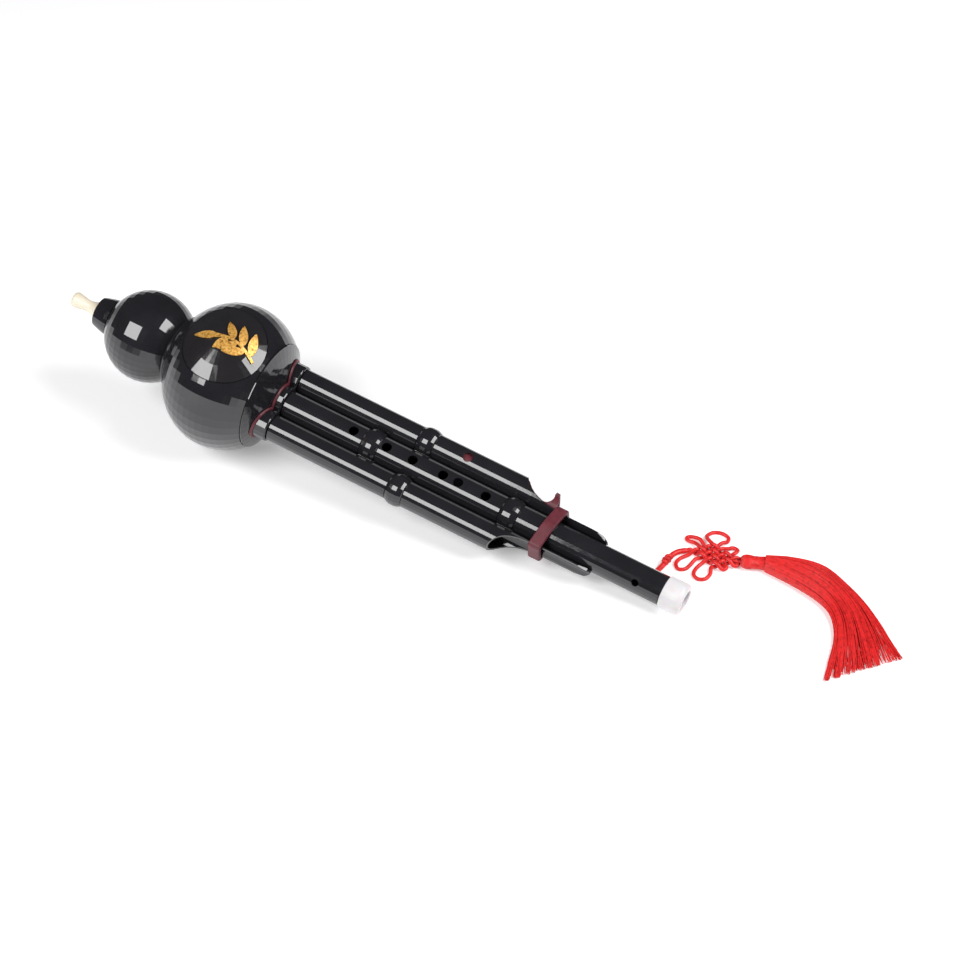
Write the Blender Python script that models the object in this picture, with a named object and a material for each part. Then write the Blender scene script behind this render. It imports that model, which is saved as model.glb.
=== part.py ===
# Gourd flute (hulusi) lying on its bulb and end cap, with its cord, knot and tassel laid out beside it.
# Instrument frame: +X from the mouthpiece tip to the end cap, +Z the finger-hole side, +Y the left drone.
import bpy
import bmesh
import numpy as np
from math import acos, asin, atan2, ceil, cos, exp, hypot, pi, radians, sin, sqrt
from mathutils import Matrix, Vector

MM = 0.001
GAP = 0.3 * MM

# Mouthpiece and neck collar
LIP_RADIUS = 4.75 * MM
WAIST_RADIUS = 3.5 * MM
MOUTHPIECE_LENGTH = 17.4 * MM
MOUTHPIECE_FOOT_RADIUS = 5.9 * MM
MOUTHPIECE_BORE = 2.0 * MM
MOUTHPIECE_TENON_RADIUS = 5.3 * MM
MOUTHPIECE_TENON_END = 30.0 * MM
COLLAR_FRONT_RADIUS = 9.1 * MM
COLLAR_BACK_RADIUS = 11.2 * MM
COLLAR_TENON_RADIUS = 8.6 * MM
COLLAR_TENON_LENGTH = 8.0 * MM

# Gourd
UPPER_RADIUS = 27.0 * MM
UPPER_WALL = 2.5 * MM
LOWER_RADIUS = 43.3 * MM
LOWER_HALF_LENGTH = 38.5 * MM
LOWER_WALL = 3.0 * MM
WAIST_STATION = 73.05 * MM
WAIST_FILLET = 2.0 * MM
SPIGOT_RADIUS = 15.5 * MM
SPIGOT_WALL = 2.0 * MM
SPIGOT_LENGTH = 6.0 * MM
UPPER_CENTRE = 52.8 * MM
LOWER_CENTRE = 107.9 * MM
GOURD_END = 133.5 * MM

# Medallion in the front of the lower bulb
DISC_RADIUS = 24.0 * MM
DISC_THICKNESS = 1.4 * MM
DISC_GROOVE = 0.35 * MM
SPRIG_STEM_LENGTH = 24.0 * MM
SPRIG_STEM_WIDTH = 1.6 * MM
LEAF_LENGTH = 14.5 * MM
LEAF_WIDTH = 5.0 * MM
SPRIG_THICKNESS = 0.6 * MM

# Seat plate, pipe holder and cement bead
SEAT_RADIUS = 32.0 * MM
SEAT_RISE = 7.0 * MM
SEAT_THICKNESS = 3.0 * MM
SEAT_EDGE = 0.6 * MM
SEAT_SPIGOT_WALL = 2.4 * MM
SEAT_SPIGOT_DEPTH = 3.0 * MM
HOLDER_START = 128.0 * MM
HOLDER_END = 145.9 * MM
HOLDER_WALL = 1.2 * MM
CEMENT_WIDTH = 1.1 * MM
CEMENT_HEIGHT = 1.1 * MM

# Pipes
MAIN_RADIUS = 8.6 * MM
MAIN_BORE = 7.0 * MM
DRONE_RADIUS = 7.8 * MM
DRONE_BORE = 6.5 * MM
TENON_STEP = 1.0 * MM
TENON_WALL = 1.55 * MM
DRONE_SPACING = 16.75 * MM
HEAD_STATION = 100.0 * MM
PIPE_END = 387.2 * MM
MAIN_NODES = (202.4 * MM, 291.7 * MM)
DRONE_NODE = 228.8 * MM
NODE_HALF_LENGTH = 5.5 * MM
NODE_HALF_CREST = 1.5 * MM
NODE_HEIGHT = 1.5 * MM
NODE_GROOVE = 0.3 * MM
FINGER_HOLES = (190.3 * MM, 211.9 * MM, 228.7 * MM, 248.2 * MM, 257.9 * MM, 275.5 * MM)
FINGER_HOLE_RADIUS = 2.9 * MM
THUMB_HOLE = 176.0 * MM
DRONE_HOLE = 254.5 * MM
DRONE_HOLE_RADIUS = 3.0 * MM
CORD_HOLE = 372.0 * MM
CORD_HOLE_RADIUS = 2.1 * MM
CORD_HOLE_ANGLE = radians(-45.0)

# Scooped ends of the drones
SCOOP_START = 288.9 * MM
SCOOP_FLOOR = 11.6 * MM
SCOOP_FALL = 6.7 * MM
TONGUE_END = 346.8 * MM
TONGUE_ROUNDING = 14.0 * MM

# Turning sleeve in the left drone
SLEEVE_START = 240.0 * MM
SLEEVE_END = 312.2 * MM
SLEEVE_WALL = 1.2 * MM
SLEEVE_LUG_RISE = 1.6 * MM
SLEEVE_LUG_STATION = 307.5 * MM
SLEEVE_LUG_HALF_LENGTH = 5.0 * MM
SLEEVE_LUG_HALF_ANGLE = radians(44.0)
NOTCH_START = 289.0 * MM
NOTCH_FLOOR = 12.9 * MM
NOTCH_DEPTH = 12.9 * MM
NOTCH_FALL = 6.0 * MM
NOTCH_HEEL = (304.3 * MM, 18.1 * MM)
NOTCH_HEEL_RADIUS = 4.2 * MM

# Binding band
BAND_STATION = 315.0 * MM
BAND_SKEW = 0.11
BAND_WIDTH = 7.2 * MM
BAND_THICKNESS = 2.2 * MM
BAND_EDGE = 0.5 * MM

# End cap
CAP_END = 400.0 * MM
CAP_RADIUS = 9.43 * MM
CAP_EDGE = 2.7 * MM
CAP_MOUTH = 6.0 * MM
CAP_TENON_RADIUS = 6.7 * MM
CAP_TENON_BORE = 5.8 * MM
CAP_TENON_LENGTH = 11.0 * MM

# Reeds and head plugs inside the gourd
REED_STATION = 114.0 * MM
REED_LENGTH = 18.0 * MM
REED_WIDTH = 5.6 * MM
REED_THICKNESS = 0.5 * MM
REED_SLIT = 0.5 * MM
TONGUE_LENGTH = 11.0 * MM
TONGUE_WIDTH = 2.2 * MM
REED_FLAT_DEPTH = 0.8 * MM
WINDOW_LENGTH = 13.0 * MM
WINDOW_WIDTH = 3.2 * MM
PLUG_HEAD = 2.0 * MM
PLUG_STEM = 5.5 * MM

# Cord, knot and tassel: places on the table, then radii
ROLL = radians(18.5)
CORD_RADIUS = 1.6 * MM
STRAND_RADIUS = 0.82 * MM
TABLE_CLEARANCE = 0.06 * MM
BEAD_FROM = (172.6 * MM, 25.4 * MM)
BEAD_TO = (173.4 * MM, 35.0 * MM)
BEAD_RADIUS = 2.5 * MM
LEAD_END = (178.3 * MM, 42.6 * MM)
KNOT_LEFT = (180.2 * MM, 43.6 * MM)
KNOT_UP = (9.6 * MM, 11.6 * MM)
KNOT_ACROSS = (18.8 * MM, -5.2 * MM)
KNOT_STRANDS = 4
KNOT_LIFT = 2.6 * MM
KNOT_FLAT = 0.28
HEAD_FROM = (209.6 * MM, 48.9 * MM)
HEAD_TO = (221.2 * MM, 53.6 * MM)
HEAD_HALF_WIDTH = 4.7 * MM
HEAD_HALF_HEIGHT = 3.6 * MM
SKIRT_INNER = ((223.4, 49.6), (244.6, 46.0), (263.3, 39.8), (273.6, 29.0), (279.2, 13.9), (283.8, -11.0))
SKIRT_OUTER = ((219.9, 58.2), (231.0, 64.9), (249.0, 69.0), (266.0, 63.2), (285.8, 51.4), (314.5, 26.9))
SKIRT_THICKNESS = (7.0 * MM, 2.6 * MM)


def smooth_path(points, count):
    """Evenly spaced points on a curve passing smoothly through the given ones."""
    known = np.array(points, dtype=float)
    padded = np.vstack([2 * known[0] - known[1], known, 2 * known[-1] - known[-2]])
    fine = []
    for a, b, c, d in zip(padded, padded[1:], padded[2:], padded[3:]):
        for t in np.linspace(0.0, 1.0, 24, endpoint=False):
            fine.append(0.5 * (2 * b + (c - a) * t + (2 * a - 5 * b + 4 * c - d) * t**2 + (3 * b - a - 3 * c + d) * t**3))
    fine = np.array(fine + [known[-1]])
    travel = np.concatenate([[0.0], np.cumsum(np.linalg.norm(np.diff(fine, axis=0), axis=1))])
    marks = np.linspace(0.0, travel[-1], count)
    return np.stack([np.interp(marks, travel, fine[:, k]) for k in range(fine.shape[1])], axis=1)


def spaced(first, last, count):
    """Values from first to last, both kept."""
    return [first + (last - first) * k / (count - 1) for k in range(count)]


def arc(centre, radius, first, last, count):
    """Points on a circle between two angles."""
    return [(centre[0] + radius * cos(a), centre[1] + radius * sin(a)) for a in spaced(first, last, count)]


def make_material(name, colour, roughness, metallic=0.0):
    surface = bpy.data.materials.new(name)
    surface.use_nodes = True
    shader = surface.node_tree.nodes["Principled BSDF"]
    shader.inputs["Base Color"].default_value = (*colour, 1.0)
    shader.inputs["Roughness"].default_value = roughness
    shader.inputs["Metallic"].default_value = metallic
    surface.diffuse_color = (*colour, 1.0)
    return surface


def place(name, shape, surface, parent):
    """An object of its own from a bmesh, with its faces turned outward."""
    bmesh.ops.recalc_face_normals(shape, faces=shape.faces)
    mesh = bpy.data.meshes.new(name)
    shape.to_mesh(mesh)
    shape.free()
    item = bpy.data.objects.new(name, mesh)
    bpy.context.scene.collection.objects.link(item)
    item.parent = parent
    if surface:
        mesh.materials.append(surface)
    return item


def join_rings(shape, here, there):
    """Faces between two rings of points, either of which may be a single point on the axis."""
    if len(here) == 1 and len(there) == 1:
        return
    count = max(len(here), len(there))
    for k in range(count):
        n = (k + 1) % count
        if len(here) == 1:
            shape.faces.new((here[0], there[k], there[n]))
        elif len(there) == 1:
            shape.faces.new((here[k], there[0], here[n]))
        else:
            shape.faces.new((here[k], there[k], there[n], here[n]))


def turned(name, outline, sides, surface, parent, start=0.0):
    """A body turned about the X axis from a closed outline of (station, radius) points."""
    shape = bmesh.new()
    rings = []
    for x, r in outline:
        if r < 1e-7:
            rings.append([shape.verts.new((x, 0.0, 0.0))])
        else:
            angles = [start + 2 * pi * k / sides for k in range(sides)]
            rings.append([shape.verts.new((x, r * cos(a), r * sin(a))) for a in angles])
    for here, there in zip(rings, rings[1:] + rings[:1]):
        join_rings(shape, here, there)
    return place(name, shape, surface, parent)


def lofted(name, sections, surface, parent, looped=False):
    """A body through sections of equal count, capped at both ends or looped back on itself."""
    shape = bmesh.new()
    rings = [[shape.verts.new(tuple(p)) for p in section] for section in sections]
    for here, there in zip(rings, rings[1:] + (rings[:1] if looped else [])):
        join_rings(shape, here, there)
    if not looped:
        shape.faces.new(rings[0])
        shape.faces.new(rings[-1])
    return place(name, shape, surface, parent)


def prism(name, outline, low, high, parent, plane="XY"):
    """A cutter: a flat outline given depth along the axis that the plane leaves out."""
    if plane == "XY":
        lift = [[(a, b, depth) for a, b in outline] for depth in (low, high)]
    elif plane == "XZ":
        lift = [[(a, depth, b) for a, b in outline] for depth in (low, high)]
    else:
        lift = [[(depth, a, b) for a, b in outline] for depth in (low, high)]
    return lofted(name, lift, None, parent)


def drill(name, station, across, radius, angle, near, far, parent, sides=16):
    """A round cutter pointing away from a pipe's axis: angle 90 degrees is straight up."""
    outward = Vector((0.0, cos(angle), sin(angle)))
    sideways = Vector((0.0, -sin(angle), cos(angle)))
    along = Vector((1.0, 0.0, 0.0))
    base = Vector((station, across, 0.0))
    sections = []
    for depth in (near, far):
        turns = [2 * pi * k / sides for k in range(sides)]
        sections.append([base + outward * depth + (along * cos(a) + sideways * sin(a)) * radius for a in turns])
    return lofted(name, sections, None, parent)


def block(name, x, y, z, parent):
    """A box cutter from three ranges."""
    return prism(name, [(x[0], y[0]), (x[1], y[0]), (x[1], y[1]), (x[0], y[1])], z[0], z[1], parent)


def carve(item, cutters, operation="DIFFERENCE"):
    """Cuts the item with each cutter in turn and keeps the result as its mesh."""
    for cutter in cutters:
        step = item.modifiers.new("carve", "BOOLEAN")
        step.operation = operation
        step.solver = "EXACT"
        step.object = cutter
    bpy.context.view_layer.update()
    result = bpy.data.meshes.new_from_object(item.evaluated_get(bpy.context.evaluated_depsgraph_get()))
    item.modifiers.clear()
    item.data = result
    for cutter in set(cutters):
        bpy.data.objects.remove(cutter, do_unlink=True)


def rest_on(item, point):
    """Moves an item's origin to a point without moving its surface."""
    item.data.transform(Matrix.Translation(-Vector(point)))
    item.location = Vector(point)


def soften(item, angle=32.0):
    """Round faces shade smooth, real edges stay sharp."""
    item.data.shade_smooth()
    item.data.set_sharp_from_angle(angle=radians(angle))


def tube(name, points, radius, fineness, surface, parent):
    """A round cord along a list of points."""
    line = bpy.data.curves.new(name, "CURVE")
    line.dimensions = "3D"
    line.bevel_depth = radius
    line.bevel_resolution = fineness
    line.render_resolution_u = 0
    line.use_fill_caps = True
    run = line.splines.new("POLY")
    run.points.add(len(points) - 1)
    for spot, p in zip(run.points, points):
        spot.co = (*p, 1.0)
    line.materials.append(surface)
    item = bpy.data.objects.new(name, line)
    bpy.context.scene.collection.objects.link(item)
    item.parent = parent
    return item


for old in list(bpy.data.objects):
    bpy.data.objects.remove(old, do_unlink=True)

BLACK = make_material("black_bakelite", (0.012, 0.012, 0.014), 0.12)
DISC_BLACK = make_material("medallion_black", (0.016, 0.015, 0.016), 0.16)
MAROON = make_material("maroon_rubber", (0.115, 0.018, 0.026), 0.55)
CEMENT = make_material("maroon_cement", (0.10, 0.014, 0.022), 0.45)
CREAM = make_material("cream_plastic", (0.78, 0.70, 0.56), 0.35)
WHITE = make_material("white_plastic", (0.72, 0.70, 0.70), 0.38)
GILT = make_material("gilt_paint", (0.72, 0.36, 0.07), 0.42, 0.4)
BRASS = make_material("reed_brass", (0.70, 0.48, 0.20), 0.28, 1.0)
CORK = make_material("plug_resin", (0.16, 0.10, 0.06), 0.7)
RED = make_material("red_silk", (0.55, 0.012, 0.014), 0.6)

# Resting pose: the tilt that brings the lower bulb and the end cap down to the same level
cap_turn = CAP_END - CAP_EDGE - LOWER_CENTRE
tilt = 0.1
for _ in range(30):
    bulb_height = hypot(LOWER_HALF_LENGTH * sin(tilt), LOWER_RADIUS * cos(tilt))
    tilt = asin((bulb_height - (CAP_RADIUS - CAP_EDGE) * cos(tilt) - CAP_EDGE) / cap_turn)
low_x = -LIP_RADIUS * 0.9 * sin(tilt)
high_x = (CAP_END - CAP_EDGE) * cos(tilt) + (CAP_RADIUS - CAP_EDGE) * sin(tilt) + CAP_EDGE
axis_start = Vector((-(low_x + high_x) / 2, 0.0, bulb_height + LOWER_CENTRE * sin(tilt)))
pose = Matrix.Rotation(tilt, 4, "Y") @ Matrix.Rotation(ROLL, 4, "X")
pose.translation = axis_start
DOWN = -pi / 2 - ROLL

instrument = bpy.data.objects.new("instrument_frame", None)
bpy.context.scene.collection.objects.link(instrument)
instrument.matrix_world = pose

# Mouthpiece
neck = [(0.0, LIP_RADIUS * 0.88), (0.8 * MM, LIP_RADIUS), (4.0 * MM, LIP_RADIUS * 0.93), (9.6 * MM, WAIST_RADIUS)]
neck += [(14.0 * MM, WAIST_RADIUS * 1.2), (MOUTHPIECE_LENGTH - 0.4 * MM, MOUTHPIECE_FOOT_RADIUS)]
outline = [tuple(p) for p in smooth_path(neck, 12)]
outline += [(MOUTHPIECE_LENGTH, MOUTHPIECE_FOOT_RADIUS), (MOUTHPIECE_LENGTH, MOUTHPIECE_TENON_RADIUS)]
outline += [(MOUTHPIECE_TENON_END, MOUTHPIECE_TENON_RADIUS), (MOUTHPIECE_TENON_END, MOUTHPIECE_BORE)]
outline += [(0.9 * MM, MOUTHPIECE_BORE), (0.2 * MM, MOUTHPIECE_BORE * 1.25)]
mouthpiece = turned("mouthpiece", outline, 24, CREAM, instrument)

# Neck collar, whose tenon enters the upper bulb
collar_start = MOUTHPIECE_LENGTH + GAP
upper_start = UPPER_CENTRE - sqrt(UPPER_RADIUS**2 - (COLLAR_BACK_RADIUS + 0.1 * MM) ** 2)
collar_end = upper_start - GAP
collar_bore = MOUTHPIECE_TENON_RADIUS + GAP
taper = smooth_path([(collar_start + 0.8 * MM, COLLAR_FRONT_RADIUS),
                     (collar_start + 6.9 * MM, COLLAR_BACK_RADIUS - 0.5 * MM), (collar_end, COLLAR_BACK_RADIUS)], 5)
outline = [(collar_start, collar_bore), (collar_start, COLLAR_FRONT_RADIUS - 0.8 * MM)]
outline += [(collar_start + 0.25 * MM, COLLAR_FRONT_RADIUS - 0.25 * MM)]
outline += [tuple(p) for p in taper]
outline += [(collar_end, COLLAR_TENON_RADIUS), (collar_end + COLLAR_TENON_LENGTH, COLLAR_TENON_RADIUS)]
outline += [(collar_end + COLLAR_TENON_LENGTH, collar_bore)]
neck_collar = turned("neck_collar", outline, 28, BLACK, instrument)


def waist_angle(centre, half_length, radius, station, low, high):
    """Angle on a bulb where the waist fillet, centred on a station, touches it."""
    for _ in range(60):
        a = (low + high) / 2
        lean = Vector((cos(a) / half_length, sin(a) / radius)).normalized()
        if centre + half_length * cos(a) + WAIST_FILLET * lean.x > station:
            low = a
        else:
            high = a
    point = Vector((centre + half_length * cos(a), radius * sin(a)))
    return a, point + WAIST_FILLET * lean, -lean


def bulb_points(centre, half_length, radius, first, last, count):
    return [(centre + half_length * cos(a), radius * sin(a)) for a in spaced(first, last, count)]


# Upper bulb with the spigot that enters the lower one
waist = WAIST_STATION - GAP / 2
angle, hub, touch = waist_angle(UPPER_CENTRE, UPPER_RADIUS, UPPER_RADIUS, waist, 0.05, pi / 2)
upper_first = acos((upper_start - UPPER_CENTRE) / UPPER_RADIUS)
inner_radius = UPPER_RADIUS - UPPER_WALL
mouth = COLLAR_TENON_RADIUS + GAP
spigot_bore = SPIGOT_RADIUS - SPIGOT_WALL
outline = [(upper_start, mouth)]
outline += bulb_points(UPPER_CENTRE, UPPER_RADIUS, UPPER_RADIUS, upper_first, angle, 13)
outline += arc(hub, WAIST_FILLET, atan2(touch.y, touch.x), -pi / 2, 4)[1:]
outline += [(waist, SPIGOT_RADIUS), (waist + SPIGOT_LENGTH, SPIGOT_RADIUS), (waist + SPIGOT_LENGTH, spigot_bore)]
outline += bulb_points(UPPER_CENTRE, inner_radius, inner_radius, asin(spigot_bore / inner_radius),
                       pi - asin(mouth / inner_radius), 6)
upper_bulb = turned("upper_bulb", outline, 40, BLACK, instrument, DOWN)

# Lower bulb, open at both ends
waist = WAIST_STATION + GAP / 2
angle, hub, touch = waist_angle(LOWER_CENTRE, LOWER_HALF_LENGTH, LOWER_RADIUS, waist, pi / 2, pi - 0.05)
lower_last = acos((GOURD_END - LOWER_CENTRE) / LOWER_HALF_LENGTH)
rim_radius = LOWER_RADIUS * sin(lower_last)
seat_spigot = SEAT_RADIUS - LOWER_WALL
seat_bore = seat_spigot + GAP
inner_half = LOWER_HALF_LENGTH - LOWER_WALL
inner_radius = LOWER_RADIUS - LOWER_WALL
neck_bore = SPIGOT_RADIUS + GAP
outline = [(waist, neck_bore)]
outline += arc(hub, WAIST_FILLET, -pi / 2, atan2(touch.y, touch.x), 4)[:-1]
outline += bulb_points(LOWER_CENTRE, LOWER_HALF_LENGTH, LOWER_RADIUS, angle, lower_last, 17)
outline += [(GOURD_END, seat_bore)]
outline += bulb_points(LOWER_CENTRE, inner_half, inner_radius, asin(seat_bore / inner_radius),
                       pi - asin(neck_bore / inner_radius), 7)
lower_bulb = turned("lower_bulb", outline, 44, BLACK, instrument, DOWN)


def bulb_surface(x, y, depth=0.0):
    """Height of the lower bulb's front over a point, a depth below the true surface."""
    a = LOWER_HALF_LENGTH - depth
    b = LOWER_RADIUS - depth
    return b * sqrt(1.0 - ((x - LOWER_CENTRE) / a) ** 2 - (y / b) ** 2)


def domed_disc(name, radius, top, bottom, surface, sides=36):
    """A round plate bent to the lower bulb's front between two depths."""
    shape = bmesh.new()
    sheets = []
    for depth in (top, bottom):
        rings = [[shape.verts.new((LOWER_CENTRE, 0.0, bulb_surface(LOWER_CENTRE, 0.0, depth)))]]
        for r in spaced(radius / 3, radius, 3):
            turn = [2 * pi * k / sides for k in range(sides)]
            spots = [(LOWER_CENTRE + r * cos(a), r * sin(a)) for a in turn]
            rings.append([shape.verts.new((x, y, bulb_surface(x, y, depth))) for x, y in spots])
        for here, there in zip(rings, rings[1:]):
            join_rings(shape, here, there)
        sheets.append(rings[-1])
    join_rings(shape, sheets[0], sheets[1])
    return place(name, shape, surface, instrument)


pocket = domed_disc("pocket", DISC_RADIUS + DISC_GROOVE, -2.0 * MM, DISC_THICKNESS + 0.25 * MM, None)
carve(lower_bulb, [pocket])
medallion_disc = domed_disc("medallion_disc", DISC_RADIUS, 0.0, DISC_THICKNESS, DISC_BLACK)


def leaf_outline(root, heading, length, width, side):
    """Half way round a lance-shaped leaf to its tip and back, starting on the given side."""
    along = Vector((cos(heading), sin(heading)))
    across = Vector((-sin(heading), cos(heading))) * side
    parts = spaced(0.1, 0.9, 6)
    swell = [width / 2 * sin(pi * t**0.8) ** 0.8 for t in parts]
    out = [root + along * length * t + across * w for t, w in zip(parts, swell)]
    back = [root + along * length * t - across * w for t, w in zip(parts, swell)]
    return out + [root + along * length] + back[::-1]


# Gilt sprig on the disc: a stem with leaves in pairs, its tip towards the mouthpiece
stem = [Vector((LOWER_CENTRE + SPRIG_STEM_LENGTH * (0.86 - t), 5.0 * MM * sin(2.4 * t) - 3.0 * MM)) for t in spaced(0, 1, 9)]
right_side, left_side = [], []
for k, spot in enumerate(stem[:-1]):
    step = stem[k + 1] - spot
    heading = atan2(step.y, step.x)
    across = Vector((-sin(heading), cos(heading))) * SPRIG_STEM_WIDTH / 2
    right_side.append(spot + across)
    left_side.append(spot - across)
    if k in (2, 4, 6):
        grown = 1.0 - 0.05 * k
        right_side += leaf_outline(spot + across, heading + radians(48), LEAF_LENGTH * grown, LEAF_WIDTH, 1)
    if k in (1, 3, 5):
        grown = 1.06 - 0.05 * k
        left_side += leaf_outline(spot - across, heading - radians(48), LEAF_LENGTH * grown, LEAF_WIDTH, -1)
tip_leaf = leaf_outline(stem[-1], heading, LEAF_LENGTH, LEAF_WIDTH, 1)
edge = right_side + tip_leaf + left_side[::-1]
shape = bmesh.new()
flat = shape.faces.new([shape.verts.new((p.x, p.y, 0.0)) for p in edge])
bmesh.ops.triangulate(shape, faces=[flat])
lower_rim = list(shape.verts)
lower_faces = list(shape.faces)
copy = bmesh.ops.duplicate(shape, geom=lower_rim + list(shape.edges) + lower_faces)
pairs = {v: copy["vert_map"][v] for v in lower_rim}
count = len(lower_rim)
for k in range(count):
    a, b = lower_rim[k], lower_rim[(k + 1) % count]
    shape.faces.new((a, b, pairs[b], pairs[a]))
for v in lower_rim:
    v.co.z = bulb_surface(v.co.x, v.co.y, -GAP)
    pairs[v].co.z = bulb_surface(v.co.x, v.co.y, -GAP - SPRIG_THICKNESS)
medallion_ornament = place("medallion_ornament", shape, GILT, instrument)


def lobed(offset, main, side, per_lobe=16):
    """Outline of three overlapping circles in a row, the middle one larger, grown by an offset."""
    big, small = main + offset, side + offset
    meet = (DRONE_SPACING**2 + big**2 - small**2) / (2 * DRONE_SPACING)
    height = sqrt(big**2 - meet**2)
    on_main = atan2(height, meet)
    on_side = atan2(height, meet - DRONE_SPACING)
    half = per_lobe // 2
    points = arc((0.0, 0.0), big, on_main, pi - on_main, half)[:-1]
    points += arc((-DRONE_SPACING, 0.0), small, pi - on_side, pi + on_side, per_lobe)[:-1]
    points += arc((0.0, 0.0), big, pi + on_main, 2 * pi - on_main, half)[:-1]
    points += arc((DRONE_SPACING, 0.0), small, 2 * pi - on_side, 2 * pi + on_side, per_lobe)[:-1]
    return points


holder_main = MAIN_RADIUS + HOLDER_WALL
holder_side = DRONE_RADIUS + HOLDER_WALL

# Seat plate: a shallow dome closing the gourd, with a three-lobed opening
seat_face = GOURD_END + GAP
dome_base = seat_face + SEAT_EDGE
dome_radius = (SEAT_RADIUS**2 + SEAT_RISE**2) / (2 * SEAT_RISE)
dome_centre = dome_base + SEAT_RISE - dome_radius


def dome(r, depth=0.0):
    return dome_centre + sqrt((dome_radius - depth) ** 2 - r**2)


inner = seat_spigot - SEAT_SPIGOT_WALL
outline = [(seat_face, SEAT_RADIUS)]
outline += [(dome(r), r) for r in spaced(SEAT_RADIUS, 0.0, 7)]
outline += [(dome(r, SEAT_THICKNESS), r) for r in spaced(0.0, inner, 4)]
outline += [(seat_face - SEAT_SPIGOT_DEPTH, inner), (seat_face - SEAT_SPIGOT_DEPTH, seat_spigot), (seat_face, seat_spigot)]
seat_plate = turned("seat_plate", outline, 40, BLACK, instrument)
opening = prism("opening", lobed(GAP, holder_main, holder_side), 120 * MM, 150 * MM, instrument, "YZ")
carve(seat_plate, [opening])

# Pipe holder: one block of three joined sockets
levels = [(HOLDER_START, -0.6 * MM), (HOLDER_START + 0.6 * MM, 0.0), (HOLDER_END - 0.8 * MM, 0.0)]
levels += [(HOLDER_END - 0.25 * MM, -0.25 * MM), (HOLDER_END, -0.75 * MM)]
sections = [[(x, y, z) for y, z in lobed(offset, holder_main, holder_side)] for x, offset in levels]
pipe_holder = lofted("pipe_holder", sections, BLACK, instrument)
main_tenon = MAIN_RADIUS - TENON_STEP
drone_tenon = DRONE_RADIUS - TENON_STEP
sockets = []
for across, tenon in ((0.0, main_tenon), (DRONE_SPACING, drone_tenon), (-DRONE_SPACING, drone_tenon)):
    ring = [(across + y, z) for y, z in arc((0.0, 0.0), tenon + GAP, 0.0, 2 * pi, 29)[:-1]]
    sockets.append(prism("socket", ring, HOLDER_START - 5 * MM, HOLDER_END + 5 * MM, instrument, "YZ"))
carve(pipe_holder, sockets)

# Cement bead round the holder's foot
near = lobed(GAP, holder_main, holder_side)
far = lobed(GAP + CEMENT_WIDTH, holder_main, holder_side)
middle = lobed(GAP + CEMENT_WIDTH * 0.6, holder_main, holder_side)
sections = []
for ring, rise in ((near, GAP), (near, GAP + CEMENT_HEIGHT), (middle, GAP + CEMENT_HEIGHT * 0.8), (far, GAP + 0.3 * MM), (far, GAP)):
    sections.append([(dome(hypot(y, z)) + rise, y, z) for y, z in ring])
seat_cement = lofted("seat_cement", sections, CEMENT, instrument, looped=True)


def node_ring(station, radius):
    """The raised joint ring of a bamboo-like pipe between two fine grooves."""
    flank = NODE_HALF_LENGTH - 0.8 * MM
    rise = [(flank, 0.2), (flank * 0.66, 0.72), (NODE_HALF_CREST, 1.0)]
    left = [(-NODE_HALF_LENGTH, 0.0), (-NODE_HALF_LENGTH + 0.3 * MM, -NODE_GROOVE / NODE_HEIGHT)]
    left += [(-x, h) for x, h in rise]
    whole = left + [(-x, h) for x, h in reversed(left)]
    return [(station + x, radius + NODE_HEIGHT * h) for x, h in whole]


def pipe_outline(radius, bore, nodes, end):
    """Outline of a pipe with its narrower tenon inside the gourd."""
    shoulder = HOLDER_END + GAP + 0.1 * MM
    tenon = radius - TENON_STEP
    points = [(shoulder, tenon), (shoulder, radius - 0.35 * MM), (shoulder + 0.4 * MM, radius)]
    for station in nodes:
        points += node_ring(station, radius)
    points += [(end - 0.4 * MM, radius), (end, radius - 0.35 * MM), (end, bore)]
    points += [(shoulder + 3 * MM, bore), (shoulder + 3 * MM, tenon - TENON_WALL)]
    points += [(HEAD_STATION, tenon - TENON_WALL), (HEAD_STATION, tenon)]
    return points


def reed_seat(across, tenon):
    """Cutters for the flat under a reed and the window below its tongue."""
    flat = tenon - REED_FLAT_DEPTH
    half = REED_LENGTH / 2 + GAP
    seat = block("seat", (REED_STATION - half, REED_STATION + half), (across - tenon, across + tenon),
                 (flat, tenon + 2 * MM), instrument)
    window = block("window", (REED_STATION - WINDOW_LENGTH / 2, REED_STATION + WINDOW_LENGTH / 2),
                   (across - WINDOW_WIDTH / 2, across + WINDOW_WIDTH / 2), (tenon / 2, tenon + 2 * MM), instrument)
    return [seat, window]


def relief(station, across, radius):
    """Cutter that lets a node ring clear the pipe lying beside it."""
    half = NODE_HALF_LENGTH + 0.5 * MM
    ends = [(station - half, 0.0), (station - half, radius + GAP), (station + half, radius + GAP), (station + half, 0.0)]
    cutter = turned("relief", ends, 48, None, instrument)
    cutter.data.transform(Matrix.Translation((0.0, across, 0.0)))
    return cutter


# Main pipe
main_pipe = turned("main_pipe", pipe_outline(MAIN_RADIUS, MAIN_BORE, MAIN_NODES, PIPE_END), 26, BLACK, instrument)
cutters = reed_seat(0.0, main_tenon)
for station in FINGER_HOLES:
    cutters.append(drill("hole", station, 0.0, FINGER_HOLE_RADIUS, pi / 2, MAIN_BORE * 0.6, MAIN_RADIUS * 1.5, instrument))
cutters.append(drill("thumb", THUMB_HOLE, 0.0, FINGER_HOLE_RADIUS, -pi / 2, MAIN_BORE * 0.6, MAIN_RADIUS * 1.5, instrument))
for turn in (CORD_HOLE_ANGLE, CORD_HOLE_ANGLE + pi):
    cutters.append(drill("eye", CORD_HOLE, 0.0, CORD_HOLE_RADIUS, turn, MAIN_BORE * 0.7, MAIN_RADIUS * 1.5, instrument, 16))
cutters += [relief(station, side * DRONE_SPACING, DRONE_RADIUS) for station in MAIN_NODES for side in (1, -1)]
carve(main_pipe, cutters)


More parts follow.
